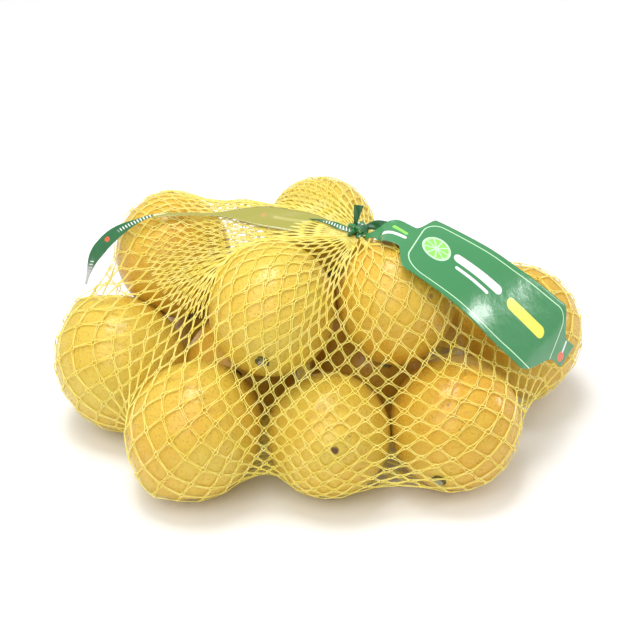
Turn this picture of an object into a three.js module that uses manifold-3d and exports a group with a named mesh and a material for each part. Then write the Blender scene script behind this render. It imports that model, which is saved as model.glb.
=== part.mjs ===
// A knitted net bag of lemons, lying on its broad side and tied at the top with a strip of printed film.
//
// Millimetres, +Z up, and +X along the bag's longest side. The origin is on the surface that the bag
// stands on, in the middle of its footprint. Until the last lines every place is measured from the foot
// of the knot, which is the point on that surface straight under the knot.
//
// net     the net and its lemons as one solid, out to the uneven outline that the taut net takes
// knot    the overhand knot of film that ties the net shut
// stub    the short end of film that stands up out of the knot
// label   the printed film from the knot over the right-hand lemons, wide in the middle
// strip   the twisted film on the knot's other side, up to the place where it dives under the net
// tail    the far end of that film, where it comes out of the net again and hangs down

import * as THREE from 'three';
import { mergeVertices } from 'three/addons/utils/BufferGeometryUtils.js';
import Module from 'manifold-3d';

const wasm = await Module();
wasm.setup();

// ---------------------------------------------------------------------------------------------------
// Driving dimensions
// ---------------------------------------------------------------------------------------------------

const YARN = 0.9;                // the net stands off the lemons by one thickness of yarn
const FILM = 0.5;                // thickness of every piece of film

const RAY_DETAIL = 14;           // fineness of the net's outline: edge pieces on a twentieth of a ball
const RAY_SPREAD = [1.5, 1.15, 0.75]; // more rays towards the bag's long ends than to its flat sides
const MIDDLE = [-12, 8, 50];     // the outline is a distance along each ray from here
const ROOMY = [175, 145, 100];   // half sizes of the loose outline before it is drawn tight
const TIGHTEN_ROUNDS = 2500;     // steps of drawing it tight

const TIE = { at: [0, -1], r: 9, top: 104.2 }; // the knot pulls the net down to here, this far round
const KNOT = { at: [0, -1, 108.4], size: [9.6, 8.4, 7.4] };
const KNOT_RIDGES = 3;           // turns of film that show on the knot
const KNOT_RIDGE_HEIGHT = 0.09;  // their height, as a share of the knot's size
const KNOT_SLANT = 5;            // how far the ridges turn from one end of the knot to the other, radians

const PINCH_HALF = 1.5;          // half width of the label's film where it leaves the knot
const PINCH = [4, 20];           // the pinch opens out between these distances along the film
const STRIP_HALF = 9;            // half width of the film between the pinch and the label's panel
const PANEL_HALF = 21.5;         // half width of the panel
const PANEL_START = [25.5, 32.5]; // where the panel's near shoulders begin and end
const PANEL_END = [110, 127];    // where its far shoulders begin and end
const CUT_HALF = 6.5;            // half width at the cut end, past the panel
const SKEW = [1, 6.5, 2];        // how far the upper edge runs ahead: near neck, far shoulder, cut end
const SKEW_NEAR = [8, 24];       // the first of these is reached between these distances
const SKEW_FAR = [40, 100];      // and the second between these
const SKEW_CUT = [106, 134];     // and the third between these

const STRIP_TWISTED = 1.4;       // half width of the twisted strip beside the knot
const TAIL_HALF = { start: 0.8, middle: 3.3, tip: 0.6 };
const TAIL_WIDENS = [0, 28];
const TAIL_NARROWS = [33, 54];
const STUB_HALF = 1.1;           // half width of the stub where it leaves the knot
const STUB_FLARE = 0.16;         // and how much wider it gets for each millimetre

// The lemons: middle, radius across, half length along the axis, and the axis towards the nipple.
const LEMONS = [
  // front row, left to right
  { at: [-77, -58, 32.5], r: 31.5, half: 33.5, axis: [-0.587, -0.579, -0.568] },
  { at: [-14, -57, 29.5], r: 29.5, half: 31, axis: [0.08, -0.92, 0.38] },
  { at: [46, -50, 31.5], r: 31, half: 33, axis: [0.27, 0.89, 0.375] },
  // middle row, left to right
  { at: [-117, -2, 34.2], r: 32, half: 35.4, axis: [-0.5625, 0.425, 0.707] },
  { at: [-58, 2, 28.5], r: 28.5, half: 29, axis: [-0.45, 0.55, -0.7] },
  { at: [7, 3, 31], r: 30, half: 31, axis: [0.5, 0.45, 0.74] },
  { at: [84, 23, 38], r: 31.5, half: 33.5, axis: [0.2, -0.65, -0.75] },
  // back row, left to right
  { at: [-72, 57, 29], r: 28.5, half: 30, axis: [0.41, 0.81, -0.43] },
  { at: [-10, 64, 28.5], r: 28, half: 30, axis: [0.2, 1, 0.1] },
  { at: [53, 74, 29.2], r: 29, half: 31, axis: [0.8, -0.5, 0.1] },
  // upper layer: front left, front right, back left, back
  { at: [-40.5, -28, 81], r: 30.2, half: 34, axis: [0.11, 0.957, 0.253] },
  { at: [18, -22, 82], r: 28.5, half: 30.5, axis: [0.15, 0.5, 0.85] },
  { at: [-92, 34.5, 76.5], r: 29.3, half: 31, axis: [0.1, -0.65, -0.75] },
  { at: [-17, 49, 81], r: 27, half: 29, axis: [-0.2, 1, 0.3] },
];
const NIPPLE = { height: 0.085, width: 0.035 };
const STEM = { height: 0.03, width: 0.05 };

// Films: each row is a place on the middle line and the direction across the film there.
const LABEL = [
  { at: [3.5, -6.5, 107.8], across: [0.1, 0.8, 0.55] },
  { at: [9, -11.5, 112.5], across: [0.12, 0.9, 0.4] },
  { at: [16.5, -17, 116.3], across: [0.25, 0.95, 0.1] },
  { at: [31, -23, 111.5], across: [0.42, 0.9, 0.08] },
  { at: [51.5, -28, 100], across: [0.5, 0.86, 0.13] },
  { at: [65.5, -29.5, 88.5], across: [0.54, 0.82, 0.17] },
  { at: [78, -28, 76], across: [0.57, 0.79, 0.22] },
  { at: [91, -25, 62], across: [0.57, 0.76, 0.28] },
  { at: [102.5, -17, 47.5], across: [0.6, 0.74, 0.3] },
];
const STRIP = [
  { at: [-6, 0.2, 107.9], across: [0.1, 0.5, 0.86] },
  { at: [-9.5, 3.5, 108.5], across: [0.3, 0.8, 0.5] },
  { at: [-14, 7.5, 108], across: [0.4, 0.9, 0.1] },
  { at: [-19, 11.5, 107.2], across: [0.3, 0.95, 0] },
];
const TAIL = [
  { at: [-100, 19, 106], across: [-0.1, 0.9, 0.4] },
  { at: [-108, 19, 102.7], across: [-0.3, 0.7, 0.6] },
  { at: [-117, 20, 97], across: [-0.55, 0.5, 0.6] },
  { at: [-124.5, 20.5, 90], across: [-0.65, 0.4, 0.5] },
  { at: [-130, 20, 82.5], across: [-0.75, 0.3, 0.4] },
  { at: [-133, 19, 75], across: [-0.85, 0.25, 0.3] },
  { at: [-135, 18, 68], across: [-0.9, 0.2, 0.2] },
];
const STUB = [
  { at: [-1, -0.8, 112.7], across: [1, 0, 0.1] },
  { at: [-0.4, 0.2, 116.5], across: [1, 0.15, 0.12] },
  { at: [0.4, 1.2, 120.7], across: [0.95, 0.3, 0.15] },
];

const NET_LOOK = { color: 0xeecb62, roughness: 0.45, metalness: 0 };
const FILM_LOOK = { color: 0x4f9f66, roughness: 0.3, metalness: 0 };

// ---------------------------------------------------------------------------------------------------
// Lemons, as shapes that hold the net out
// ---------------------------------------------------------------------------------------------------

/** How far a lemon reaches in a direction, against a plain ellipsoid; t is 1 at the nipple's end. */
function lemonReach(t) {
  const nipple = NIPPLE.height * Math.exp((t - 1) / NIPPLE.width);
  const stem = STEM.height * Math.exp((-1 - t) / STEM.width);
  return 1 + nipple + stem;
}

/** A lemon's centre and size, with the matrix that turns a place in the bag into one on a unit ball. */
function makeLemon({ at, r, half, axis }) {
  const centre = new THREE.Vector3(...at);
  const long = new THREE.Vector3(...axis).normalize();
  const turn = new THREE.Quaternion().setFromUnitVectors(new THREE.Vector3(0, 0, 1), long);
  const into = new THREE.Matrix4().compose(centre, turn, new THREE.Vector3(r, r, half)).invert();
  const reach = half * lemonReach(1) + YARN;
  return { centre, into, skin: YARN / r, reach };
}

const lemons = LEMONS.map(makeLemon);

/** True where a point lies inside a lemon with one yarn round it. */
function isHeldOut(point) {
  return lemons.some((lemon) => {
    if (point.distanceTo(lemon.centre) > lemon.reach) {
      return false;
    }
    const local = point.clone().applyMatrix4(lemon.into);
    const distance = local.length();
    return distance < lemonReach(local.z / distance) + lemon.skin;
  });
}

// ---------------------------------------------------------------------------------------------------
// The net's outline: a distance along each of many rays, drawn tight onto the lemons
// ---------------------------------------------------------------------------------------------------

/** A fine ball of rays, as unit directions with the triangles between them. */
function makeRays() {
  const ball = new THREE.IcosahedronGeometry(1, RAY_DETAIL);
  ball.deleteAttribute('normal');
  ball.deleteAttribute('uv');
  const merged = mergeVertices(ball, 1e-5);
  const places = merged.getAttribute('position');
  const spread = new THREE.Vector3(...RAY_SPREAD);
  const directions = [];
  for (let i = 0; i < places.count; i += 1) {
    const ray = new THREE.Vector3().fromBufferAttribute(places, i);
    directions.push(ray.multiply(spread).normalize());
  }
  return { directions, faces: Array.from(merged.index.array) };
}

/** For each ray, the numbers of the rays that share an edge with it. */
function neighboursOf(count, faces) {
  const sets = Array.from({ length: count }, () => new Set());
  for (let i = 0; i < faces.length; i += 3) {
    const [a, b, c] = faces.slice(i, i + 3);
    sets[a].add(b).add(c);
    sets[b].add(c).add(a);
    sets[c].add(a).add(b);
  }
  return sets.map((set) => [...set]);
}

/** The last point on a ray that a lemon holds out, found from outside in small steps. */
function heldDistance(middle, direction, from) {
  const step = 0.4;
  const point = new THREE.Vector3();
  for (let distance = from; distance > 0; distance -= step) {
    point.copy(direction).multiplyScalar(distance).add(middle);
    if (isHeldOut(point)) {
      return distance;
    }
  }
  return 0;
}

/** How far out a ray may reach: under the knot only as far as the height that the tie leaves. */
function tiedDistance(middle, direction) {
  if (direction.z <= 0) {
    return Infinity;
  }
  const distance = (TIE.top - middle.z) / direction.z;
  const aside = Math.hypot(
    middle.x + direction.x * distance - TIE.at[0],
    middle.y + direction.y * distance - TIE.at[1],
  );
  return aside < TIE.r ? distance : Infinity;
}

/** Each point goes to the middle of its neighbours along its ray, as far as lemons and tie allow. */
function drawTight() {
  const { directions, faces } = makeRays();
  const neighbours = neighboursOf(directions.length, faces);
  const middle = new THREE.Vector3(...MIDDLE);
  const roomy = directions.map((d) => 1 / Math.hypot(d.x / ROOMY[0], d.y / ROOMY[1], d.z / ROOMY[2]));
  const held = directions.map((direction, i) => heldDistance(middle, direction, roomy[i]));
  const tied = directions.map((direction) => tiedDistance(middle, direction));
  let distances = roomy;
  for (let round = 0; round < TIGHTEN_ROUNDS; round += 1) {
    const now = distances;
    distances = now.map((_, i) => {
      const wanted = neighbours[i].reduce((sum, j) => sum + now[j] * directions[j].dot(directions[i]), 0);
      return Math.min(tied[i], Math.max(held[i], wanted / neighbours[i].length));
    });
  }
  const points = directions.map((ray, i) => ray.clone().multiplyScalar(distances[i]).add(middle));
  return { points, faces };
}

/** A mesh of merged points as a solid that can be cut. */
function toSolid({ points, faces }) {
  const vertProperties = new Float32Array(points.flatMap((point) => point.toArray()));
  return new wasm.Manifold(new wasm.Mesh({ numProp: 3, vertProperties, triVerts: new Uint32Array(faces) }));
}

/** Points and faces as a three.js geometry. */
function toGeometry(positions, faces) {
  const geometry = new THREE.BufferGeometry();
  geometry.setAttribute('position', new THREE.BufferAttribute(new Float32Array(positions), 3));
  geometry.setIndex(new THREE.BufferAttribute(new Uint32Array(faces), 1));
  geometry.computeVertexNormals();
  return geometry;
}

/** The room above the surface that the bag stands on, as a solid block. */
function roomAbove() {
  const size = 400;
  const block = new THREE.BoxGeometry(size, size, size);
  block.translate(0, 0, size / 2);
  block.deleteAttribute('normal');
  block.deleteAttribute('uv');
  const merged = mergeVertices(block);
  const places = merged.getAttribute('position');
  const points = [];
  for (let i = 0; i < places.count; i += 1) {
    points.push(new THREE.Vector3().fromBufferAttribute(places, i));
  }
  return toSolid({ points, faces: Array.from(merged.index.array) });
}

/** The net's solid: the tight outline, pressed flat where it meets the surface. */
function makeNet() {
  const pressed = toSolid(drawTight()).intersect(roomAbove());
  const mesh = pressed.getMesh();
  return toGeometry(mesh.vertProperties, mesh.triVerts);
}

// ---------------------------------------------------------------------------------------------------
// Film: thin closed ribbons along a curve
// ---------------------------------------------------------------------------------------------------

/** A smooth step from 0 to 1 between two places. */
function easeBetween([start, end], place) {
  return THREE.MathUtils.smoothstep(place, start, end);
}

/** An open Catmull-Rom curve through a list of places. */
function smoothCurve(places) {
  const points = places.map((place) => new THREE.Vector3(...place));
  return new THREE.CatmullRomCurve3(points, false, 'catmullrom');
}

/**
 * A ribbon along a smooth curve through the rows' places. halfWidth and skew are functions of the
 * distance along the middle line: skew is how far the upper edge runs ahead of the middle.
 */
function makeRibbon(rows, { steps, columns, halfWidth, skew }) {
  const curve = smoothCurve(rows.map((row) => row.at));
  const turns = smoothCurve(rows.map((row) => row.across));
  const length = curve.getLength();
  const layers = [[], []];
  for (let i = 0; i <= steps; i += 1) {
    const place = i / steps;
    const centre = curve.getPointAt(place);
    const along = curve.getTangentAt(place);
    const across = turns.getPoint(curve.getUtoTmapping(place));
    across.addScaledVector(along, -across.dot(along)).normalize();
    const out = along.clone().cross(across);
    const half = halfWidth(place * length);
    const lead = skew(place * length);
    for (let j = 0; j <= columns; j += 1) {
      const side = (2 * j) / columns - 1;
      const point = centre.clone().addScaledVector(across, side * half);
      point.addScaledVector(along, side * lead);
      layers[0].push(point.clone().addScaledVector(out, -FILM / 2));
      layers[1].push(point.addScaledVector(out, FILM / 2));
    }
  }
  return ribbonGeometry(layers, steps, columns);
}

/** Closes two layers of a ribbon with a wall round its border. */
function ribbonGeometry(layers, steps, columns) {
  const wide = columns + 1;
  const upper = layers[0].length;
  const index = (i, j) => i * wide + j;
  const faces = [];
  for (let i = 0; i < steps; i += 1) {
    for (let j = 0; j < columns; j += 1) {
      const corners = [index(i, j), index(i + 1, j), index(i + 1, j + 1), index(i, j + 1)];
      const [a, b, c, d] = corners;
      faces.push(a, c, b, a, d, c);
      faces.push(a + upper, b + upper, c + upper, a + upper, c + upper, d + upper);
    }
  }
  const border = [];
  for (let i = 0; i < steps; i += 1) {
    border.push(index(i, 0));
  }
  for (let j = 0; j < columns; j += 1) {
    border.push(index(steps, j));
  }
  for (let i = steps; i > 0; i -= 1) {
    border.push(index(i, columns));
  }
  for (let j = columns; j > 0; j -= 1) {
    border.push(index(0, j));
  }
  border.forEach((from, k) => {
    const to = border[(k + 1) % border.length];
    faces.push(from, to, to + upper, from, to + upper, from + upper);
  });
  return toGeometry([...layers[0], ...layers[1]].flatMap((point) => point.toArray()), faces);
}

const straight = () => 0;

/** The label: pinched at the knot, a wide panel with rounded shoulders, and a narrow cut end. */
function makeLabel() {
  const { lerp } = THREE.MathUtils;
  const halfWidth = (s) => {
    const near = lerp(PINCH_HALF, STRIP_HALF, easeBetween(PINCH, s));
    const panel = near + (PANEL_HALF - STRIP_HALF) * easeBetween(PANEL_START, s);
    return lerp(panel, CUT_HALF, easeBetween(PANEL_END, s));
  };
  const skew = (s) => {
    const near = SKEW[0] * easeBetween(SKEW_NEAR, s);
    const far = lerp(near, SKEW[1], easeBetween(SKEW_FAR, s));
    return lerp(far, SKEW[2], easeBetween(SKEW_CUT, s));
  };
  return makeRibbon(LABEL, { steps: 48, columns: 6, halfWidth, skew });
}

/** The film beside the knot: narrow, because it is twisted. */
function makeStrip() {
  return makeRibbon(STRIP, { steps: 10, columns: 2, halfWidth: () => STRIP_TWISTED, skew: straight });
}

/** The hanging tail: twisted narrow where it comes out, wider in the middle, pointed at its tip. */
function makeTail() {
  const { start, middle, tip } = TAIL_HALF;
  const halfWidth = (s) => {
    const widened = THREE.MathUtils.lerp(start, middle, easeBetween(TAIL_WIDENS, s));
    return widened - (middle - tip) * easeBetween(TAIL_NARROWS, s);
  };
  return makeRibbon(TAIL, { steps: 24, columns: 2, halfWidth, skew: straight });
}

/** The stub above the knot: a short end that widens to its cut. */
function makeStub() {
  const halfWidth = (s) => STUB_HALF + STUB_FLARE * s;
  return makeRibbon(STUB, { steps: 6, columns: 2, halfWidth, skew: straight });
}

/** The knot: a flattened ball with the turns of film as ridges that wind round it. */
function makeKnot() {
  const ball = new THREE.IcosahedronGeometry(0.5, 5);
  ball.deleteAttribute('normal');
  ball.deleteAttribute('uv');
  const merged = mergeVertices(ball, 1e-5);
  const places = merged.getAttribute('position');
  const point = new THREE.Vector3();
  for (let i = 0; i < places.count; i += 1) {
    point.fromBufferAttribute(places, i);
    const winding = Math.atan2(point.z, point.x) * KNOT_RIDGES + point.y * KNOT_SLANT;
    const round = Math.hypot(point.x, point.z) * 2;
    point.multiplyScalar(1 - KNOT_RIDGE_HEIGHT * round * (1 - Math.cos(winding)) * 0.5);
    places.setXYZ(i, point.x, point.y, point.z);
  }
  merged.scale(...KNOT.size);
  merged.translate(...KNOT.at);
  merged.computeVertexNormals();
  return merged;
}

// ---------------------------------------------------------------------------------------------------
// The bag, with its origin in the middle of its footprint
// ---------------------------------------------------------------------------------------------------

const bag = new THREE.Group();

/** Adds one named piece with a material of its own. */
function addPiece(name, geometry, look) {
  const piece = new THREE.Mesh(geometry, new THREE.MeshStandardMaterial(look));
  piece.name = name;
  bag.add(piece);
}

addPiece('net', makeNet(), NET_LOOK);
addPiece('knot', makeKnot(), FILM_LOOK);
addPiece('stub', makeStub(), FILM_LOOK);
addPiece('label', makeLabel(), FILM_LOOK);
addPiece('strip', makeStrip(), FILM_LOOK);
addPiece('tail', makeTail(), FILM_LOOK);

const box = new THREE.Box3().setFromObject(bag, true);
const footprint = box.getCenter(new THREE.Vector3());
bag.children.forEach((piece) => piece.geometry.translate(-footprint.x, -footprint.y, 0));

export default bag;
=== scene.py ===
# %% [markdown]
# # A net of lemons
#
# Fourteen lemons lie in a knitted net bag, three rows deep with four more on top. A strip of printed
# film is knotted round the net's mouth. One end widens into the label. The other runs back over the
# gathered net and hangs down on the far side.
#
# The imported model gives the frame: where the bag stands and where its knot and film are. The lemons,
# the yarn and the film are worked out here as surfaces and put round that frame.

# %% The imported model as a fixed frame
import math

import bpy
import numpy as np
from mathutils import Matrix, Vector


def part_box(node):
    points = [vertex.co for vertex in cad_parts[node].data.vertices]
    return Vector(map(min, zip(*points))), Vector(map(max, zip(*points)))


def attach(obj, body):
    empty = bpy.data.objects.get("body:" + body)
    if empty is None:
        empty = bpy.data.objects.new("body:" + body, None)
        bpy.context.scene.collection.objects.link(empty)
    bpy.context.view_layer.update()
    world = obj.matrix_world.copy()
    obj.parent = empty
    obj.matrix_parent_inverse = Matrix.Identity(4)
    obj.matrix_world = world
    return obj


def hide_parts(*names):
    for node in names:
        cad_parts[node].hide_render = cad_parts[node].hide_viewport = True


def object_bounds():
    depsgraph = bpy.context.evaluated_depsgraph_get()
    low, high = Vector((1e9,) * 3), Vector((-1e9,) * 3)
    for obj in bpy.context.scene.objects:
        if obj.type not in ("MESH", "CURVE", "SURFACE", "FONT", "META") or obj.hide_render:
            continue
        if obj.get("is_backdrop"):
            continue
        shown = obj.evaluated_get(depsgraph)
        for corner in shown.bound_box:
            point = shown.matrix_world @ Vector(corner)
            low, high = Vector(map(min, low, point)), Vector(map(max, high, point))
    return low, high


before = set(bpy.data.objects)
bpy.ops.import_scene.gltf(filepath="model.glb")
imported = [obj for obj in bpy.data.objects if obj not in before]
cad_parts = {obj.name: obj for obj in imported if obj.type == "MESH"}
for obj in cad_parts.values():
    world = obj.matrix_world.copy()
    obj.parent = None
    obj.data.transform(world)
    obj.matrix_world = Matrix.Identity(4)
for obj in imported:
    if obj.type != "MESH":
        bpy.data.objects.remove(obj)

cad_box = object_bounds()
print("packed nodes:", sorted(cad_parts))

# %% [markdown]
# Lengths below are in millimetres from the foot of the knot: the point on the ground straight under
# it, with X along the bag, Y away from its front and Z up. The knot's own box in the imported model
# says where that foot is, so nothing has to be fitted by eye.

# %% Places: from the foot of the knot to the frame's metres
MM = 0.001
KNOT_AT = (0, -1, 108.4)      # the knot's middle
KNOT_SIZE = (9.6, 8.4, 7.4)

knot_low, knot_high = (np.array(corner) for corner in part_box("knot"))
foot = (knot_low + knot_high) / 2 - np.array(KNOT_AT) * MM
foot[2] = 0.0


def placed(points):
    """Millimetres from the knot's foot, as metres in the frame."""
    return foot + np.asarray(points, float) * MM


print("foot of the knot, metres:", foot.round(4))

# %% [markdown]
# A handful of small tools serve every piece. Surfaces come out of numpy as whole arrays of points and
# faces, and one function turns them into a mesh whose object sits at the origin.

# %% Vectors, blends and smooth curves
random = np.random.default_rng(14)


def unit(vectors):
    """Each vector divided by its length."""
    return vectors / np.maximum(np.linalg.norm(vectors, axis=-1, keepdims=True), 1e-9)


def ease(start, end, x):
    """0 before start, 1 after end, and t * t * (3 - 2 t) between them."""
    t = np.clip((x - start) / (end - start), 0, 1)
    return t * t * (3 - 2 * t)


def smooth_curve(rows, places):
    """A Catmull-Rom curve through rows of numbers; places run from 0 at the first row to 1 at the last."""
    rows = np.asarray(rows, float)
    padded = np.vstack([2 * rows[0] - rows[1], rows, 2 * rows[-1] - rows[-2]])
    at = np.clip(places * (len(rows) - 1), 0, len(rows) - 1 - 1e-9)
    before = at.astype(int)
    t = (at - before)[:, None]
    a, b, c, d = (padded[before + k] for k in range(4))
    return 0.5 * (2 * b + (c - a) * t + (2 * a - 5 * b + 4 * c - d) * t**2 + (3 * b - a - 3 * c + d) * t**3)


# %% Arrays into meshes
def make_piece(name, points, faces, material, values=None, flat_map=None):
    """
    A piece from points in millimetres and a list of face arrays, such as quads and triangles. values
    are numbers for each point, and flat_map is each point's place on the unrolled surface.
    """
    mesh = bpy.data.meshes.new(name)
    corners = np.concatenate([group.ravel() for group in faces])
    sizes = np.concatenate([np.full(len(group), group.shape[1]) for group in faces])
    mesh.vertices.add(len(points))
    mesh.vertices.foreach_set("co", placed(points).ravel())
    mesh.loops.add(len(corners))
    mesh.loops.foreach_set("vertex_index", corners)
    mesh.polygons.add(len(sizes))
    mesh.polygons.foreach_set("loop_start", np.concatenate([[0], np.cumsum(sizes)[:-1]]))
    mesh.update(calc_edges=True)
    mesh.shade_smooth()
    for key, numbers in (values or {}).items():
        mesh.attributes.new(key, "FLOAT", "POINT").data.foreach_set("value", numbers.astype(np.float32))
    if flat_map is not None:
        mesh.uv_layers.new(name="flat").data.foreach_set("uv", flat_map[corners].ravel())
    mesh.materials.append(material)
    piece = bpy.data.objects.new(name, mesh)
    bpy.context.scene.collection.objects.link(piece)
    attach(piece, "root")
    print(f"{name}: {len(points)} points, {int((sizes - 2).sum())} triangles")
    return piece


# %% [markdown]
# The camera looks down on the bag at about thirty degrees from its front, which is how such a net is
# seen on a counter. It comes first, because everything after it is judged through it.

# %% Camera
LOOKS_AT = (-18, -10, 64)     # the middle of the bag as the camera sees it
LOOKS_DOWN = math.radians(31)
DISTANCE, LENS = 760, 88

camera = bpy.data.objects.new("camera", bpy.data.cameras.new("camera"))
camera.data.lens = LENS
bpy.context.scene.collection.objects.link(camera)
bpy.context.scene.camera = camera
back_off = np.array([0, -math.cos(LOOKS_DOWN), math.sin(LOOKS_DOWN)]) * DISTANCE
camera.location = placed(np.array(LOOKS_AT) + back_off)
camera.rotation_euler = (math.pi / 2 - LOOKS_DOWN, 0, 0)
print("camera at, metres:", np.array(camera.location).round(3))

# %% [markdown]
# ## Shader tools
#
# Each material is a small network of nodes. A few helpers keep those networks readable: one fills a
# node's inputs, one adds a node, and others do arithmetic. Colours are written as they look on a
# screen, from 0 to 255, and turned into the linear light that the shader wants.

# %% Nodes, arithmetic and colours
def screen_colour(red, green, blue):
    """A colour as seen on a screen, 0 to 255, as linear light with an alpha of 1."""
    shares = np.array([red, green, blue]) / 255
    linear = np.where(shares <= 0.04045, shares / 12.92, ((shares + 0.055) / 1.055) ** 2.4)
    return (*linear, 1.0)


def fill(tree, made, inputs):
    """Sets a node's inputs. inputs maps a socket's name or number to a value or to another socket."""
    for key, value in inputs.items():
        if isinstance(value, bpy.types.NodeSocket):
            tree.links.new(value, made.inputs[key])
        else:
            made.inputs[key].default_value = value


def add_node(tree, kind, inputs=None, **settings):
    """Adds one shader node with its settings and inputs."""
    made = tree.nodes.new("ShaderNode" + kind)
    for key, value in settings.items():
        setattr(made, key, value)
    fill(tree, made, inputs or {})
    return made


def calculate(tree, operation, *numbers, clamp=False):
    """One step of arithmetic on values or sockets, as a socket."""
    return add_node(tree, "Math", dict(enumerate(numbers)), operation=operation, use_clamp=clamp).outputs[0]


def calculate_vector(tree, operation, *vectors):
    """One step of arithmetic on vectors. Its outputs are a vector and, for a length, a number."""
    return add_node(tree, "VectorMath", dict(enumerate(vectors)), operation=operation).outputs


def between(tree, value, start, end, low=0.0, high=1.0):
    """low where value is at start, high where it is at end, eased between them and held outside."""
    inputs = {"Value": value, "From Min": start, "From Max": end, "To Min": low, "To Max": high}
    return add_node(tree, "MapRange", inputs, interpolation_type="SMOOTHSTEP").outputs[0]


def mix_colours(tree, share, first, second):
    """The first colour where share is 0 and the second where it is 1."""
    return add_node(tree, "Mix", {0: share, 6: first, 7: second}, data_type="RGBA").outputs[2]


def noise(tree, place, size, detail=2.0):
    """Soft noise from about 0 to 1, whose patches are roughly size millimetres across."""
    inputs = {"Vector": place, "Scale": 1 / (size * MM), "Detail": detail}
    return add_node(tree, "TexNoise", inputs).outputs[0]


def value_of(tree, name):
    """The numbers that a piece carries for each of its points under that name."""
    return add_node(tree, "Attribute", attribute_name=name).outputs["Fac"]


def bumps(tree, height, strength, distance):
    """The normal of a surface with small bumps, whose full height is distance, in metres."""
    return add_node(tree, "Bump", {"Height": height, "Strength": strength, "Distance": distance}).outputs[0]


def new_material(name):
    """A new material, its nodes, its Principled shader and each point's place on the object."""
    material = bpy.data.materials.new(name)
    material.use_nodes = True
    tree = material.node_tree
    tree.nodes.clear()
    shader = add_node(tree, "BsdfPrincipled")
    add_node(tree, "OutputMaterial", {"Surface": shader.outputs[0]})
    return material, tree, shader, add_node(tree, "TexCoord").outputs["Object"]


def new_group(name, inputs, outputs):
    """A node group. inputs and outputs map each socket's name to its type: Float, Vector or Color."""
    group = bpy.data.node_groups.new(name, "ShaderNodeTree")
    for key, kind in inputs.items():
        group.interface.new_socket(key, in_out="INPUT", socket_type="NodeSocket" + kind)
    for key, kind in outputs.items():
        group.interface.new_socket(key, in_out="OUTPUT", socket_type="NodeSocket" + kind)
    start = group.nodes.new("NodeGroupInput")
    end = group.nodes.new("NodeGroupOutput")
    return group, start.outputs, end.inputs


def use_group(tree, group, **inputs):
    """Places a node group in a material; underscores in the names of inputs stand for spaces."""
    made = tree.nodes.new("ShaderNodeGroup")
    made.node_tree = group
    fill(tree, made, {key.replace("_", " "): value for key, value in inputs.items()})
    return made.outputs


# %% [markdown]
# ## The lemons
#
# A lemon is close to an egg of revolution with a nipple at one end and a low collar round the stem
# scar at the other. It could be sculpted, or turned on a lathe from a drawn outline. Here it is a
# formula instead: how far the rind reaches in each direction, against a plain ellipsoid. The same
# formula later tells the net where it rests, which keeps the yarn out of the rinds everywhere but
# where a lemon stands on it.

# %% Where the lemons lie
# Middle, radius across, half length, the axis towards the nipple, and ripeness from 0, pale, to 1.
LEMONS = [
    # front row, left to right
    ((-77, -58, 32.5), 31.5, 33.5, (-0.587, -0.579, -0.568), 0.35),
    ((-14, -57, 29.5), 29.5, 31, (0.08, -0.92, 0.38), 0.25),
    ((46, -50, 31.5), 31, 33, (0.27, 0.89, 0.375), 0.6),
    # middle row, left to right
    ((-117, -2, 34.2), 32, 35.4, (-0.5625, 0.425, 0.707), 0.15),
    ((-58, 2, 28.5), 28.5, 29, (-0.45, 0.55, -0.7), 0.6),
    ((7, 3, 31), 30, 31, (0.5, 0.45, 0.74), 0.75),
    ((84, 23, 38), 31.5, 33.5, (0.2, -0.65, -0.75), 0.5),
    # back row, left to right
    ((-72, 57, 29), 28.5, 30, (0.41, 0.81, -0.43), 0.6),
    ((-10, 64, 28.5), 28, 30, (0.2, 1, 0.1), 0.6),
    ((53, 74, 29.2), 29, 31, (0.8, -0.5, 0.1), 0.5),
    # upper layer: front left, front right, back left, back
    ((-40.5, -28, 81), 30.2, 34, (0.11, 0.957, 0.253), 0.15),
    ((18, -22, 82), 28.5, 30.5, (0.15, 0.5, 0.85), 0.5),
    ((-92, 34.5, 76.5), 29.3, 31, (0.1, -0.65, -0.75), 0.45),
    ((-17, 49, 81), 27, 29, (-0.2, 1, 0.3), 0.1),
]
NIPPLE_HEIGHT, NIPPLE_WIDTH = 0.085, 0.035
COLLAR_HEIGHT, COLLAR_WIDTH = 0.03, 0.05


def lemon_reach(t):
    """
    How far the rind reaches against a plain ellipsoid. t is the direction's share along the axis: the
    nipple rises as exp((t - 1) / width) towards t = 1, and the collar the same way towards t = -1.
    """
    nipple = NIPPLE_HEIGHT * np.exp((t - 1) / NIPPLE_WIDTH)
    collar = COLLAR_HEIGHT * np.exp((-1 - t) / COLLAR_WIDTH)
    return 1 + nipple + collar


def axes_along(axis):
    """Three unit vectors as columns, the third along axis."""
    along = unit(np.array(axis, float))
    helper = np.array([0, 0, 1.0]) if abs(along[2]) < 0.9 else np.array([1.0, 0, 0])
    side = unit(np.cross(helper, along))
    return np.stack([side, np.cross(along, side), along], 1)


lemon_middle = np.array([row[0] for row in LEMONS], float)
lemon_size = np.array([(row[1], row[1], row[2]) for row in LEMONS], float)
lemon_axes = np.array([axes_along(row[3]) for row in LEMONS])
print(len(LEMONS), "lemons,", (2 * lemon_size[:, 0]).min(), "to", (2 * lemon_size[:, 0]).max(), "mm across")

# %% [markdown]
# A ball of directions from pole to pole carries each rind. Real rinds are never quite round, so each
# lemon is also pressed in a little by a few slow waves of its own. They only ever press inwards, which
# keeps the rind clear of the yarn. A small dimple takes the stem's button.

# %% The rinds
AROUND, ALONG = 88, 56
UNEVENNESS = 0.016            # the deepest the slow waves press in, as a share of the radius
WAVE_SPEED = 2.2              # how many radians a wave goes through across a radius
DIMPLE_DEPTH, DIMPLE_WIDTH = 0.035, 0.009


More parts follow.
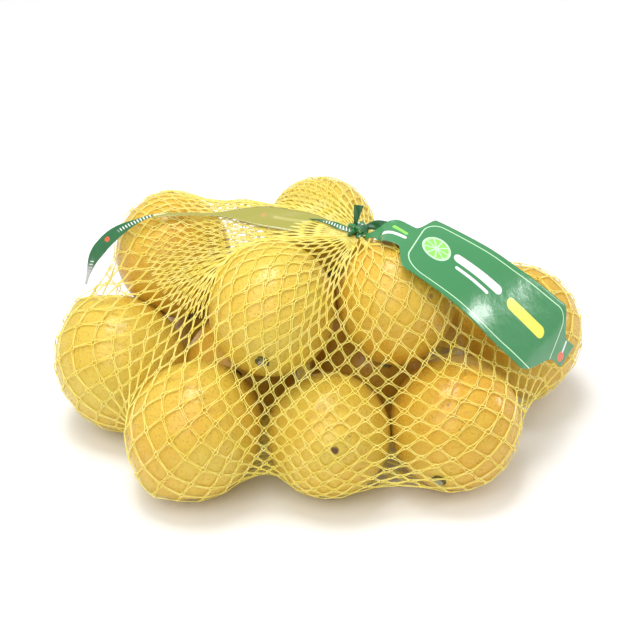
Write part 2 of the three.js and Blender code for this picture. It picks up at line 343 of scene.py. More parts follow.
def ball_directions(around, along):
    """Unit vectors ring by ring from the pole at +Z to the one at -Z, then the two poles."""
    fall = np.pi * np.arange(1, along) / along
    turn = 2 * np.pi * np.arange(around) / around
    ring = np.stack(np.broadcast_arrays(
        np.sin(fall)[:, None] * np.cos(turn),
        np.sin(fall)[:, None] * np.sin(turn),
        np.cos(fall)[:, None] + 0 * turn,
    ), -1)
    return np.vstack([ring.reshape(-1, 3), [[0, 0, 1]], [[0, 0, -1]]])


def capped_ring_faces(around, rings):
    """Quads between neighbouring rings of points and a fan of triangles on each pole, facing outwards."""
    ring, turn = np.meshgrid(np.arange(rings - 1), np.arange(around), indexing="ij")
    here, following = ring * around + turn, ring * around + (turn + 1) % around
    quads = np.stack([here, here + around, following + around, following], -1).reshape(-1, 4)
    first, after = np.arange(around), (np.arange(around) + 1) % around
    last, poles = (rings - 1) * around, rings * around
    start = np.stack([first, after, np.full(around, poles)], 1)
    end = np.stack([last + after, last + first, np.full(around, poles + 1)], 1)
    return quads, np.vstack([start, end])


def repeated_faces(faces, points_each):
    """The faces of one lemon's shape, again for every lemon."""
    return [np.vstack([group + which * points_each for which in range(len(LEMONS))]) for group in faces]


def slow_waves(directions):
    """A smooth random number from 0 to 1 in each direction: the mean of five cosines."""
    waves = random.normal(size=(5, 3)) * WAVE_SPEED
    starts = random.uniform(0, 2 * np.pi, 5)
    return 0.5 + 0.5 * np.cos(directions @ waves.T + starts).mean(-1)


def rind_points(which, directions):
    """Each direction times its reach, stretched to the lemon's size, turned and put in place."""
    t = directions[:, 2]
    reach = lemon_reach(t) - UNEVENNESS * slow_waves(directions)
    reach -= DIMPLE_DEPTH * np.exp((-1 - t) / DIMPLE_WIDTH)
    local = directions * reach[:, None] * lemon_size[which]
    return local @ lemon_axes[which].T + lemon_middle[which]


directions = ball_directions(AROUND, ALONG)
count = len(directions)
rinds = np.vstack([rind_points(which, directions) for which in range(len(LEMONS))])
rind_faces = repeated_faces(capped_ring_faces(AROUND, ALONG - 1), count)
rind_values = {
    "along_axis": np.tile(directions[:, 2], len(LEMONS)),
    "ripeness": np.repeat([row[4] for row in LEMONS], count),
}

# %% [markdown]
# The rind's finish is what makes a lemon: a deep yellow that pales towards both ends, fine oil pores,
# a waxy shine that is never quite even, a few scars, and a brown tip. The pores are a Voronoi pattern,
# whose cells are about as far apart as real ones, used both as a bump and as a slight darkening.

# %% A scar, for any material
group, given, result = new_group(
    "scar",
    {"Place": "Vector", "Centre": "Vector", "Radius": "Float", "Raggedness": "Float"},
    {"Mask": "Float"},
)
apart = calculate_vector(group, "DISTANCE", given["Place"], given["Centre"])[1]
ragged = calculate(group, "MULTIPLY", noise(group, given["Place"], 1.6, detail=3.0), given["Raggedness"])
edge = calculate(group, "ADD", calculate(group, "DIVIDE", apart, given["Radius"]), ragged)
group.links.new(between(group, edge, 0.75, 1.2, 1.0, 0.0), result["Mask"])
scar_group = group

# %% The rind
# Scars that show: which lemon, the direction from its middle, and the scar's radius.
SCARS = [
    (11, (0.52, -0.7, 0.49), 2.2),
    (2, (-0.18, -0.64, 0.75), 1.3),
    (2, (-0.06, -0.77, 0.64), 0.9),
    (2, (-0.01, -0.88, 0.47), 1.1),
    (0, (-0.92, -0.37, 0.11), 1.6),
    (10, (0.79, 0.09, 0.6), 1.0),
    (1, (0.3, -0.8, 0.52), 0.8),
]
SCAR_RAGGEDNESS, SCAR_STRENGTH = 0.8, 0.75
PORE_SPACING = 1.5
RIND_PALE, RIND_RIPE = screen_colour(214, 190, 77), screen_colour(212, 154, 37)
RIND_END, PORE_BROWN = screen_colour(196, 180, 80), screen_colour(176, 108, 16)
TIP_BROWN, SCAR_BROWN = screen_colour(96, 68, 36), screen_colour(142, 104, 84)


def scar_centre(which, direction):
    """Where a direction from a lemon's middle comes out of its rind."""
    local = unit(unit(np.array(direction)) @ lemon_axes[which] / lemon_size[which])
    reach = lemon_reach(local[2]) - UNEVENNESS / 2
    return lemon_axes[which] @ (local * reach * lemon_size[which]) + lemon_middle[which]


def make_rind_material():
    """Colour from ripeness and slow noise, pores, ends, scars and an uneven waxy shine."""
    material, tree, shader, place = new_material("lemon_rind")
    along = value_of(tree, "along_axis")
    ripeness = value_of(tree, "ripeness")

    slow = calculate(tree, "MULTIPLY_ADD", noise(tree, place, 26), 0.9, -0.45)
    quick = calculate(tree, "MULTIPLY_ADD", noise(tree, place, 5, detail=4.0), 0.4, -0.2)
    ripe = calculate(tree, "ADD", calculate(tree, "ADD", ripeness, slow), quick, clamp=True)
    colour = mix_colours(tree, ripe, RIND_PALE, RIND_RIPE)
    ends = calculate(tree, "MAXIMUM", between(tree, along, 0.93, 1.0), between(tree, along, -0.9, -1.0))
    colour = mix_colours(tree, calculate(tree, "MULTIPLY", ends, 0.35), colour, RIND_END)

    cells = add_node(tree, "TexVoronoi", {"Vector": place, "Scale": 1 / (PORE_SPACING * MM)})
    pit = between(tree, cells.outputs["Distance"], 0.05, 0.42, 1.0, 0.0)
    colour = mix_colours(tree, calculate(tree, "MULTIPLY", pit, 0.07), colour, PORE_BROWN)

    wavering = calculate(tree, "ADD", along, calculate(tree, "MULTIPLY", quick, 0.01))
    colour = mix_colours(tree, between(tree, wavering, 0.9976, 0.9994), colour, TIP_BROWN)
    for which, direction, radius in SCARS:
        centre = tuple(placed(scar_centre(which, direction)))
        scar = use_group(
            tree, scar_group, Place=place, Centre=centre, Radius=radius * MM, Raggedness=SCAR_RAGGEDNESS
        )["Mask"]
        colour = mix_colours(tree, calculate(tree, "MULTIPLY", scar, SCAR_STRENGTH), colour, SCAR_BROWN)

    waxy = between(tree, noise(tree, place, 1.4, detail=3.0), 0.35, 0.7, 0.24, 0.42)
    swell = calculate(tree, "MULTIPLY", noise(tree, place, 4), 1.2)
    relief = calculate(tree, "MULTIPLY_ADD", pit, -0.7, swell)
    normal = bumps(tree, relief, 1.0, 0.0004)
    fill(tree, shader, {
        "Base Color": colour, "Roughness": waxy, "Normal": normal,
        "Subsurface Weight": 0.15, "Subsurface Radius": (1.0, 0.6, 0.15), "Subsurface Scale": 0.004,
        "Specular IOR Level": 0.3, "Coat Weight": 0.2, "Coat Roughness": 0.12,
    })
    return material


lemons = make_piece("lemons", rinds, rind_faces, make_rind_material(), values=rind_values)
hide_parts("net")

# %% [markdown]
# The stem leaves a woody button with five blunt lobes and a small scar in the middle. It sits in the
# dimple of the collar. One disc of rings makes it, with the same faces as a ball's: the lobes are a
# cosine round the rim, and the height is a low dome with a hollow. Underneath it comes to a point.

# %% Stem buttons
BUTTON_RADIUS, BUTTON_HEIGHT, BUTTON_LOBES = 3.6, 2.0, 5
BUTTON_AROUND, BUTTON_RINGS = 30, 9
LOBE_DEPTH, NOTCH_DEPTH, NOTCHES = 0.09, 0.05, 9     # as shares of the radius
HOLLOW_DEPTH, HOLLOW_WIDTH, RIM_DROP, ROOT_DEPTH = 0.45, 0.3, 0.5, 0.6


def button_points(which):
    """
    A dome with lobes: its radius is 1 + depth * cos(5 turn), its height 1 - out ** 4, less a hollow
    in the middle. out runs from 0 in the middle to 1 at the rim.
    """
    out = np.linspace(0, 1, BUTTON_RINGS + 1)[1:, None]
    turn = 2 * np.pi * np.arange(BUTTON_AROUND) / BUTTON_AROUND + which
    size = BUTTON_RADIUS * (0.85 + 0.2 * (which * 0.37 % 1))
    lobes = np.cos(BUTTON_LOBES * turn)
    radius = size * out * (1 + LOBE_DEPTH * out * lobes + NOTCH_DEPTH * out * np.cos(NOTCHES * turn + which))
    height = BUTTON_HEIGHT * (1 - out**4) - HOLLOW_DEPTH * np.exp(-((out / HOLLOW_WIDTH) ** 2))
    height = height - RIM_DROP * (out > 0.99) + 0.12 * lobes * out
    local = np.stack([radius * np.cos(turn), -radius * np.sin(turn), -height + 0 * turn], -1).reshape(-1, 3)
    local = np.vstack([local, [[0, 0, -(BUTTON_HEIGHT - HOLLOW_DEPTH)]], [[0, 0, ROOT_DEPTH]]])
    base = -lemon_size[which, 2] * (lemon_reach(-1) - DIMPLE_DEPTH - UNEVENNESS / 2)
    return (local + [0, 0, base]) @ lemon_axes[which].T + lemon_middle[which]


def make_button_material():
    """Dry wood: pale in the middle, dark olive round the rim."""
    material, tree, shader, place = new_material("stem_button")
    out = value_of(tree, "out")
    grain = between(tree, noise(tree, place, 0.9, detail=4.0), 0.3, 0.7)
    wood = mix_colours(tree, grain, screen_colour(120, 106, 80), screen_colour(176, 166, 144))
    rim = mix_colours(tree, grain, screen_colour(74, 66, 28), screen_colour(112, 108, 46))
    colour = mix_colours(tree, between(tree, out, 0.45, 0.65), wood, rim)
    normal = bumps(tree, grain, 0.8, 0.0004)
    fill(tree, shader, {"Base Color": colour, "Normal": normal, "Roughness": 0.8})
    return material


buttons = np.vstack([button_points(which) for which in range(len(LEMONS))])
count = BUTTON_AROUND * BUTTON_RINGS + 2
button_faces = repeated_faces(capped_ring_faces(BUTTON_AROUND, BUTTON_RINGS), count)
ring_shares = np.repeat(np.linspace(0, 1, BUTTON_RINGS + 1)[1:], BUTTON_AROUND)
button_values = {"out": np.tile(np.concatenate([ring_shares, [0, 1]]), len(LEMONS))}
make_piece("stem_buttons", buttons, button_faces, make_button_material(), values=button_values)

# %% [markdown]
# ## The net
#
# The bag is a tube of knitted plastic yarn, gathered at both ends. Its cells are diamonds with sides
# of one fixed length, and that is what gives the net its look: it can't stretch, so over a lemon the
# diamonds open wide, and towards the knot they close into long slivers.
#
# A cloth simulation could find that shape, but cloth resists shear, and a net doesn't. So the lattice
# is relaxed here directly. Every joint moves towards the middle of its four neighbours, then the bars
# are brought back to their length, then whatever went into a lemon is pushed out again. Nine hundred
# rounds of that pull the net tight.
#
# A bag with length to spare is not gathered evenly. At the back left the columns of joints stand close
# together, their bars may close further, and the slack lies high between the lemons and the knot.

# %% The lattice
COLUMNS, ROWS = 64, 38        # joints round the bag, and bars from the knot to the far end
BAR = 10.0
BAR_SPREAD = 0.14             # real bars are up to this share longer or shorter
SHORTEST, LONGEST = 0.9, 1.04  # how far the net may close or stretch a bar, as shares of its length
CROWDED_TOWARDS, CROWDING = math.radians(150), 2.0    # where, and how much, the net is bunched up
GIVE, EXTRA_PULL = 0.68, 0.6  # its bars may close further there, and pull harder
NECK_AT, NECK_RADIUS = np.array([0, -1, 106.2]), 1.2
CLOSURE_AT, CLOSURE_RADIUS = np.array([-12, -22, 7]), 1.5
YARN_CLEARANCE = 0.5          # the yarn's middle stays this far off the rinds
YARN_LOWEST, SKIN_LOWEST = 0.45, 0.02    # and the yarn's middle and skin this far off the ground
# Balls that hold up the slack left of the knot: their middles and radii.
HELD_UP = [((-16, 12, 79), 26.5), ((-33, 21, 77), 28.8), ((-52, 26, 77.3), 28.5), ((-58, 42, 72), 28)]
EGG_HALF, EGG_MIDDLE = (170, 140, 95), [-10, 8, 52]   # the roomy egg that the net starts from
ROUNDS, LENGTH_ROUNDS, PULL = 900, 5, 0.35

row = np.arange(ROWS)[:, None]
rows_all = np.arange(ROWS + 1)[:, None]
column = np.arange(COLUMNS)[None]
# Bars lean one way or the other. below and above give the column of the joint at a bar's other end.
below = ((column + row % 2) % COLUMNS, (column - (row + 1) % 2) % COLUMNS)
above = ((column - row % 2) % COLUMNS, (column + (row + 1) % 2) % COLUMNS)

# Columns stand closer together, and pull harder on each other, where the net is bunched up.
around_bag = np.linspace(0, 2 * np.pi, 721)
crowd = 1 + CROWDING * (0.5 + 0.5 * np.cos(around_bag - CROWDED_TOWARDS))
crowd_sum = np.concatenate([[0], np.cumsum(crowd[1:] + crowd[:-1])])
spots = (np.arange(2 * COLUMNS) / (2 * COLUMNS)) * crowd_sum[-1]
column_turns = np.interp(spots, crowd_sum, around_bag)[2 * column + rows_all % 2]
bunched = (0.5 + 0.5 * np.cos(column_turns[:-1] - CROWDED_TOWARDS))[..., None]
crowding = 1 + EXTRA_PULL * bunched
shortest = SHORTEST - GIVE * bunched
bar_lengths = BAR * random.uniform(1 - BAR_SPREAD, 1 + BAR_SPREAD, (2, ROWS, COLUMNS, 1))


def bar_vectors(joints, lean):
    """From each joint to the one below it on that lean."""
    return joints[row + 1, below[lean]] - joints[:-1]


def shared_out(wishes, lean):
    """What each bar wishes for, given to its upper joint and taken from its lower one."""
    moves = np.zeros((ROWS + 1, COLUMNS, 3))
    moves[:-1] += wishes
    moves[1:] -= wishes[row, above[lean]]
    return moves


def pushed_out(points, clearance):
    """Points inside a rind or closer to it than clearance are moved straight out from its middle."""
    points = points.copy()
    for middle, size, axes in zip(lemon_middle, lemon_size, lemon_axes):
        offset = points - middle
        near = np.einsum("...i,...i->...", offset, offset) < (size[2] * 1.2 + 2) ** 2
        local = (offset[near] @ axes) / size
        distance = np.linalg.norm(local, axis=-1)
        wanted = lemon_reach(local[:, 2] / distance) + clearance / size[0]
        scale = np.maximum(wanted / distance, 1)
        points[near] = (local * scale[:, None] * size) @ axes.T + middle
    points[..., 2] = np.maximum(points[..., 2], YARN_LOWEST)
    return points


def held_up(points):
    """Points inside one of the balls that hold the net up are moved straight out of it."""
    for middle, radius in HELD_UP:
        offset = points - middle
        points = middle + offset * np.maximum(radius / np.linalg.norm(offset, axis=-1, keepdims=True), 1)
    return points


def gathered(middle, radius):
    """A ring of joints, where the net is gathered."""
    turn = 2 * np.pi * np.arange(COLUMNS) / COLUMNS
    return middle + radius * np.stack([np.cos(turn), np.sin(turn), 0 * turn], -1)


def relaxed_net():
    """The joints of the net, pulled tight over the lemons from a roomy egg round them."""
    fall, turn = np.pi * rows_all / ROWS, column_turns
    long, deep, tall = EGG_HALF
    joints = EGG_MIDDLE + np.stack([
        long * np.sin(fall) * np.cos(turn),
        deep * np.sin(fall) * np.sin(turn),
        tall * np.cos(fall) + 0 * turn,
    ], -1)
    for _ in range(ROUNDS):
        wishes = [shared_out(crowding * bar_vectors(joints, lean), lean) for lean in (0, 1)]
        joints += PULL / 4 * sum(wishes)
        for _ in range(LENGTH_ROUNDS):
            moves = 0
            for lean in (0, 1):
                bars = bar_vectors(joints, lean)
                lengths = np.linalg.norm(bars, axis=-1, keepdims=True)
                right = np.clip(lengths, shortest * bar_lengths[lean], LONGEST * bar_lengths[lean])
                moves = moves + shared_out(0.25 * bars * (1 - right / lengths), lean)
            joints = joints + moves
        joints = pushed_out(held_up(joints), YARN_CLEARANCE + 0.1)
        joints[0], joints[-1] = gathered(NECK_AT, NECK_RADIUS), gathered(CLOSURE_AT, CLOSURE_RADIUS)
    return joints


joints = relaxed_net()
lengths = np.linalg.norm(bar_vectors(joints, 0), axis=-1)
print("net from", joints.reshape(-1, 3).min(0).round(), "to", joints.reshape(-1, 3).max(0).round())
print("bars:", lengths.mean().round(2), "mm on average")

# %% [markdown]
# Each strand of yarn is a pair of filaments that run from the knot to the far end, crossing the
# strands that lean the other way. Halfway along a bar the pair lies close together. At a joint it
# opens, so that the two pairs cross as a small open lattice. That is what makes a knitted joint look
# different from two straight lines.

# %% Strands through the joints
FILAMENT_RADIUS = 0.21
SAMPLES = (0.0, 0.12, 0.24, 0.38, 0.62, 0.76, 0.88)   # places along each bar
JOINT_SHARES = (1.0, 0.88, 0.56, 0.2, 0.2, 0.56, 0.88)  # how far the pair is open there
CLOSE, OPEN = 0.16, 1.1       # half the distance between a pair's filaments, mid-bar and at a joint
LIFT = 0.13                   # one pair passes this far over the other
JOINT_REACH = 1.8             # the stretch each side of a joint where a strand bends towards the other
ROOM = 0.2                    # a pair opens, and bends, by no more than this share of a narrow cell
BEFORE_MIDDLE = 3             # which of the samples comes just before the bar's middle
LOOSENESS = (0.5, 1.25)       # how far pairs open at a joint varies between these shares
TWIST = 0.08


def measured(joints):
    """The joints with, at each one, the directions round, down and out of the bag and the cell's size."""
    shifts = (rows_all % 2, -((rows_all + 1) % 2))
    lower = [joints[np.minimum(rows_all + 1, ROWS), (column + shift) % COLUMNS] for shift in shifts]
    upper = [joints[np.maximum(rows_all - 1, 0), (column + shift) % COLUMNS] for shift in shifts]
    around = lower[0] - lower[1] + upper[0] - upper[1]
    down = lower[0] + lower[1] - upper[0] - upper[1]
    width = np.linalg.norm(around, axis=-1) / 4
    height = np.linalg.norm(down, axis=-1) / 4
    out = np.cross(down, around)
    out[0], out[-1] = (0, 0, 1), (0, 0, -1)
    return {"joints": joints, "around": unit(around), "down": unit(down), "out": unit(out),
            "width": width, "height": height, "room": ROOM * np.minimum(width, height)}


def strand_frames(net, lean):
    """
    Every strand of one lean as points along it with the directions out of the net. Near a joint the
    strand leans towards the cell's longer diagonal: by w * w and h * h against the sum of both.
    """
    columns = (column + rows_all // 2 if lean == 0 else column - (rows_all + 1) // 2) % COLUMNS
    keys = ("joints", "out", "room", "around", "down", "width", "height")
    at, out, room, around, down, width, height = (net[key][rows_all, columns] for key in keys)
    w2, h2 = width[..., None] ** 2, height[..., None] ** 2
    side = 1 if lean == 0 else -1
    reach = np.minimum(JOINT_REACH, 2 * room[..., None])
    bend = reach * (side * w2 * around + h2 * down) / (w2 + h2)
    bend[0], bend[-1] = 0, 0
    leaves, arrives = at[:-1] + bend[:-1], at[1:] - bend[1:]
    paths, outs = [], []
    for share in SAMPLES:
        inner = (share - SAMPLES[2]) / (SAMPLES[-2] - SAMPLES[2])
        straight = leaves + (arrives - leaves) * np.clip(inner, 0, 1)
        to_joint = 1 - ease(0, SAMPLES[2], min(share, 1 - share))
        joint = at[:-1] if share < 0.5 else at[1:]
        paths.append(straight + (joint - straight) * to_joint)
        outs.append(out[:-1] * (1 - share) + out[1:] * share)
    path = np.stack(paths, 1).reshape(-1, COLUMNS, 3)
    path_out = np.stack(outs, 1).reshape(-1, COLUMNS, 3)
    path, path_out = np.vstack([path, at[-1:]]), unit(np.vstack([path_out, out[-1:]]))
    fits = np.repeat(np.minimum(room[:-1], room[1:]), len(SAMPLES), axis=0)
    return pushed_out(path, YARN_CLEARANCE), path_out, np.vstack([fits, fits[-1:]])


def tube_skin(path, out, radius, sides=4):
    """Tubes round paths (samples, strands, 3): rings of points turned from out, and closed ends."""
    along = unit(np.gradient(path, axis=0))
    across = unit(np.cross(along, out))
    out = np.cross(across, along)
    angles = (2 * np.pi * (np.arange(sides) + 0.5) / sides)[:, None]
    ring = radius * (np.cos(angles) * out[..., None, :] + np.sin(angles) * across[..., None, :])
    points = (path[..., None, :] + ring).transpose(1, 0, 2, 3)
    strands, samples = points.shape[:2]
    s, k, c = np.meshgrid(np.arange(strands), np.arange(samples - 1), np.arange(sides), indexing="ij")
    here, beside = (s * samples + k) * sides + c, (s * samples + k) * sides + (c + 1) % sides
    walls = np.stack([here, beside, beside + sides, here + sides], -1).reshape(-1, 4)
    starts = np.arange(strands)[:, None] * samples * sides
    caps = [starts + np.arange(sides)[::-1], starts + (samples - 1) * sides + np.arange(sides)]
    return points.reshape(-1, 3), [walls, *caps]


def filament(net, lean, side):
    """One filament of every strand of that lean, beside the strand's middle by the pair's opening."""
    path, out, fits = strand_frames(net, lean)
    along = unit(np.gradient(path, axis=0))
    across = unit(np.cross(along, out))
    bar, place = np.divmod(np.arange(len(path)), len(SAMPLES))
    nearest = bar + (place > BEFORE_MIDDLE)   # the joint that each sample is closest to
    joint_share = np.array(JOINT_SHARES)[place][:, None]
    looseness = random.uniform(*LOOSENESS, (ROWS + 1, COLUMNS))[nearest]
    half = np.minimum(CLOSE + (OPEN * looseness - CLOSE) * joint_share, np.maximum(fits, CLOSE))
    over = np.where(nearest % 2 == lean, 1, -1)[:, None] * joint_share * LIFT
    turned = np.where(place == BEFORE_MIDDLE, 1, np.where(place == BEFORE_MIDDLE + 1, -1, 0))[:, None]
    moved = path + across * (side * half)[..., None] + out * (over + side * TWIST * turned)[..., None]
    return pushed_out(moved, YARN_CLEARANCE - LIFT - 0.06), out


YARN_PAINTED_GLOW = 0.1               # painted glow, standing in for light that the clear plastic carries along


def make_yarn_material():
    """Clear lemon-yellow plastic: bright, shiny, a little uneven along its length, with a painted glow of
    its own.
    """
    material, tree, shader, place = new_material("net_yarn")
    patchy = between(tree, noise(tree, place, 9, detail=3.0), 0.3, 0.7)
    colour = mix_colours(tree, patchy, screen_colour(228, 208, 92), screen_colour(236, 221, 126))
    shine = between(tree, noise(tree, place, 0.8), 0.35, 0.65, 0.2, 0.45)
    fill(tree, shader, {
        "Base Color": colour, "Roughness": shine,
        # Painted glow: a faint yellow emission makes the yarn light up, though it is no lamp.
        "Emission Color": screen_colour(255, 226, 96), "Emission Strength": YARN_PAINTED_GLOW,
        "Subsurface Weight": 0.6, "Subsurface Radius": (1.0, 0.9, 0.4), "Subsurface Scale": 0.001,
    })
    return material


# %% Yarn
yarn, net = make_yarn_material(), measured(joints)
for lean, lean_name in enumerate(("left", "right")):
    for side, side_name in ((-1, "inner"), (1, "outer")):
        path, out = filament(net, lean, side)
        points, faces = tube_skin(path, out, FILAMENT_RADIUS)
        points[:, 2] = np.maximum(points[:, 2], SKIN_LOWEST)
        make_piece(f"yarn_{lean_name}_{side_name}", points, faces, yarn)

# %% [markdown]
# At the back left the bag had length to spare, and it was folded over before it was tied. There the
# net lies double. The upper layer is the same lattice, moved half a cell round the bag and a little
# outwards, and it comes down onto the lower one where the fold ends.

# %% The folded layer
FOLD_ROWS, FOLD_LIFT = 13, 0.9
FOLD_FROM = 0.86              # the fold covers strands that are bunched up more than this


def fold_layer():
    """Each joint halfway to its neighbour round the bag, raised by lift * (1 - (row / rows) ** 2)."""
    rows = rows_all[..., None]
    raised = FOLD_LIFT * np.clip(1 - (rows / FOLD_ROWS) ** 2, 0, 1) * ease(0, 2, rows)
    halfway = (joints + np.roll(joints, -1, axis=1)) / 2
    return measured(halfway + net["out"] * raised)


fold, fold_points, fold_faces, count = fold_layer(), [], [], 0
for lean in (0, 1):
    middle_column = (np.arange(COLUMNS) + (1, -1)[lean] * FOLD_ROWS // 4) % COLUMNS
    chosen = bunched[FOLD_ROWS // 2, middle_column, 0] > FOLD_FROM
    for side in (-1, 1):
        path, out = filament(fold, lean, side)
        length = FOLD_ROWS * len(SAMPLES) + 1
        points, faces = tube_skin(path[:length, chosen], out[:length, chosen], FILAMENT_RADIUS)
        fold_points.append(points)
        fold_faces.append([group + count for group in faces])
        count += len(points)
fold_faces = [np.vstack(groups) for groups in zip(*fold_faces)]
make_piece("yarn_folded", np.vstack(fold_points), fold_faces, yarn)

# %% [markdown]
# ## The film
#
# The label and its ends are one thin printed film, stiff enough to bridge from lemon to lemon. Cloth
# simulation would let it droop; a real one holds its curve. So each stretch is a ribbon: a smooth
# middle line, the direction across it, and a half width that follows the cut. Its flat map is in
# millimetres along and across the film, so the print can be laid out as on a drawing board.

# %% Ribbons
FILM = 0.14                   # thickness


def ribbon(rows, half_width, lead=None, steps=120, columns=24, ripple=0.0, waves=3.0):
    """
    Points of a thin closed ribbon: middle + across * side * half + along * side * lead, on two layers.
    rows are places and directions across. ripple is the height of soft waves out of the film.
    """
    rows = np.array(rows, float)
    fine = np.linspace(0, 1, 1200)
    line = smooth_curve(rows[:, 0], fine)
    gone = np.concatenate([[0], np.cumsum(np.linalg.norm(np.diff(line, axis=0), axis=1))])
    s = np.linspace(0, gone[-1], steps + 1)
    places = np.interp(s, gone, fine)
    middle, across = smooth_curve(rows[:, 0], places), smooth_curve(rows[:, 1], places)
    along = unit(np.gradient(middle, s, axis=0))
    across = unit(across - (across * along).sum(1, keepdims=True) * along)
    out = np.cross(along, across)
    side = np.linspace(-1, 1, columns + 1)
    half = half_width(s)[:, None]
    ahead = (lead(s) if lead else 0 * s)[:, None]
    points = middle[:, None] + across[:, None] * (side * half)[..., None]
    points = points + along[:, None] * (side * ahead)[..., None]
    wave = ripple * np.sin(s[:, None] / waves + 2.1 * side) * np.cos(1.7 * side + s[:, None] / (2.3 * waves))
    points = points + out[:, None] * wave[..., None]
    flat = np.stack([s[:, None] + side * ahead, side * half + 0 * s[:, None]], -1)
    layers = [points - out[:, None] * FILM / 2, points + out[:, None] * FILM / 2]
    return np.concatenate([layer.reshape(-1, 3) for layer in layers]), np.tile(flat.reshape(-1, 2), (2, 1))


def ribbon_faces(steps=120, columns=24):
    """Two layers that face away from each other, and a wall round their border."""
    wide, upper = columns + 1, (steps + 1) * (columns + 1)
    i, j = np.meshgrid(np.arange(steps), np.arange(columns), indexing="ij")
    here = (i * wide + j).reshape(-1)
    top = np.stack([here, here + wide, here + wide + 1, here + 1], -1) + upper
    bottom = np.stack([here, here + 1, here + wide + 1, here + wide], -1)
    border = np.concatenate([
        np.arange(steps) * wide,
        steps * wide + np.arange(columns),
        (np.arange(steps, 0, -1)) * wide + columns,
        np.arange(columns, 0, -1),
    ])
    after = np.roll(border, -1)
    wall = np.stack([border, after, after + upper, border + upper], -1)
    return [np.vstack([top, bottom, wall])]


def make_film(name, rows, half_width, material, flipped=False, **settings):
    """One stretch of film as a piece, with print on one side only."""
    points, flat = ribbon(rows, half_width, **settings)
    sizes = {key: settings[key] for key in ("steps", "columns") if key in settings}
    printed = np.repeat([1.0, 0.0] if flipped else [0.0, 1.0], len(points) // 2)
    return make_piece(name, points, ribbon_faces(**sizes), material, {"printed": printed}, flat)


# %% [markdown]
# The print is made of flat shapes: a fine pale frame round the panel, a slice of citrus, plain bars,
# and a small orange dot by the cut end. The narrow stretches have rows of ticks. All but the slice are
# rounded bars, with one distance formula: how far a place is outside a box, less the rounding of its
# corners. The slice is a disc whose turn is cut into equal wedges.
#
# The film is glossy and slightly crinkled. Its crinkles are too shallow to change its outline, so the
# shader bends the light there, and the ribbon itself has only a few soft waves.

# %% A rounded bar, for any print
group, given, result = new_group(
    "rounded bar",
    {"Place": "Vector", "Middle": "Vector", "Half Size": "Vector", "Rounding": "Float", "Turn": "Float"},
    {"Distance": "Float"},
)
from_middle = calculate_vector(group, "SUBTRACT", given["Place"], given["Middle"])[0]
turned = add_node(
    group, "VectorRotate", {"Vector": from_middle, "Angle": given["Turn"]}, rotation_type="Z_AXIS"
).outputs[0]
mirrored = calculate_vector(group, "ABSOLUTE", turned)[0]
beyond = calculate_vector(group, "SUBTRACT", mirrored, given["Half Size"])[0]
rounding = add_node(group, "CombineXYZ", {0: given["Rounding"], 1: given["Rounding"], 2: 0.0}).outputs[0]
beyond = calculate_vector(group, "ADD", beyond, rounding)[0]
positive = calculate_vector(group, "MAXIMUM", beyond, (0, 0, 0))[0]
outside = calculate_vector(group, "LENGTH", positive)[1]
parts = add_node(group, "SeparateXYZ", {0: beyond}).outputs
inside = calculate(group, "MINIMUM", calculate(group, "MAXIMUM", parts[0], parts[1]), 0.0)
distance = calculate(group, "SUBTRACT", calculate(group, "ADD", outside, inside), given["Rounding"])
group.links.new(distance, result["Distance"])
bar_group = group

# %% A slice of citrus, for any print
group, given, result = new_group(
    "citrus slice",
    {"Place": "Vector", "Middle": "Vector", "Radius": "Float", "Segments": "Float"},
    {"Disc": "Float", "Flesh": "Float"},
)
from_middle = calculate_vector(group, "SUBTRACT", given["Place"], given["Middle"])[0]
away = calculate_vector(group, "LENGTH", from_middle)[1]
away = calculate(group, "DIVIDE", away, given["Radius"])
parts = add_node(group, "SeparateXYZ", {0: from_middle}).outputs
turn = calculate(group, "DIVIDE", calculate(group, "ARCTAN2", parts[1], parts[0]), 2 * math.pi)
wedge = calculate(group, "FRACT", calculate(group, "MULTIPLY", turn, given["Segments"]))
off_centre = calculate(group, "ABSOLUTE", calculate(group, "SUBTRACT", wedge, 0.5))
from_wall = calculate(group, "SUBTRACT", 0.5, off_centre)
width_here = calculate(group, "MULTIPLY", from_wall, away)
in_wedge = between(group, width_here, 0.055, 0.085)
in_rind, off_core = between(group, away, 0.8, 0.86, 1.0, 0.0), between(group, away, 0.12, 0.18)
in_ring = calculate(group, "MULTIPLY", in_rind, off_core)
group.links.new(between(group, away, 0.97, 1.0, 1.0, 0.0), result["Disc"])
group.links.new(calculate(group, "MULTIPLY", in_wedge, in_ring), result["Flesh"])
slice_group = group

# %% Film materials
FILM_GREEN = screen_colour(58, 136, 80)
FILM_GREEN_WORN = screen_colour(76, 150, 98)
# Painted shade: the film's back is coloured a darker green than its printed side, as if it lay in shade.
FILM_BACK_PAINTED_SHADE = screen_colour(36, 96, 54)
STRIP_GREEN, STRIP_GREEN_WORN = screen_colour(40, 108, 62), screen_colour(66, 132, 88)
CLEAR_FILM = screen_colour(176, 182, 180)
VEILED_OLIVE, VEILED_PALE = screen_colour(166, 156, 66), screen_colour(180, 174, 98)
VEILED_ORANGE = screen_colour(188, 150, 84)
PRINT_WHITE = screen_colour(238, 240, 238)
PRINT_PALE = screen_colour(196, 236, 196)
PRINT_YELLOW = screen_colour(238, 236, 92)
PRINT_LIGHT_GREEN = screen_colour(140, 214, 92)
PRINT_ORANGE = screen_colour(226, 104, 62)


def print_bar(tree, place, colour, middle, half_size, ink, turn=0.0, rounding=None, outline=None):
    """Lays one rounded bar of ink over a colour. With an outline it is only a line of that half width."""
    distance = use_group(
        tree, bar_group, Place=place, Middle=(*middle, 0), Half_Size=(*half_size, 0), Turn=turn,
        Rounding=min(half_size) if rounding is None else rounding,
    )["Distance"]
    if outline:
        distance = calculate(tree, "SUBTRACT", calculate(tree, "ABSOLUTE", distance), outline)
    return mix_colours(tree, between(tree, distance, -0.06, 0.06, 1.0, 0.0), colour, ink)


